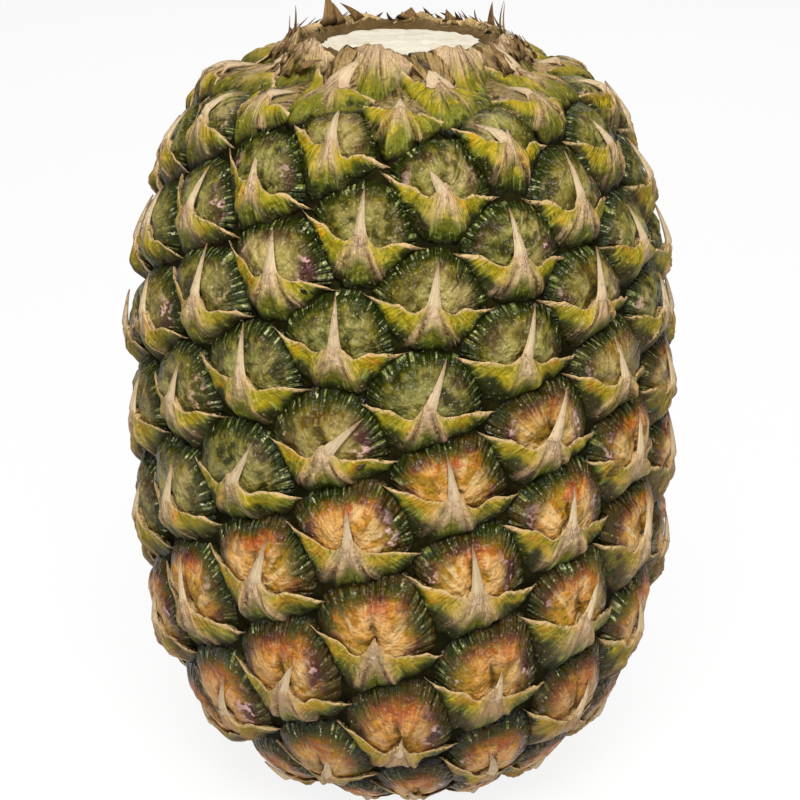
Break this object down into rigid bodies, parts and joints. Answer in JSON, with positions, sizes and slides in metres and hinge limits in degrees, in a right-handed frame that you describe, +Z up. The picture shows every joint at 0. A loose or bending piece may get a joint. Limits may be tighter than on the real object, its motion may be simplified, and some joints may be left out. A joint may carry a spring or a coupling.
{
  "type": "pineapple without its crown",
  "caption": "Whole ripe pineapple with the crown taken off: barrel-shaped fruit of spiny bracts and eyes in spirals, flat on its base.",
  "frame": {"origin": "centre of the flat underside, where the fruit rests", "axes": "+Z up along the core from the stalk to the crown scar; -Y is the side the picture shows"},
  "size_m": [0.126, 0.125, 0.1761],
  "materials": {
    "rind": "satin",
    "eye_skin": "satin",
    "bract": "satin",
    "spine": "matte",
    "dry_leaf": "matte",
    "cut_face": "matte"
  },
  "bodies": {
    "root": {"fruit": "rind"}
  },
  "joints": []
}
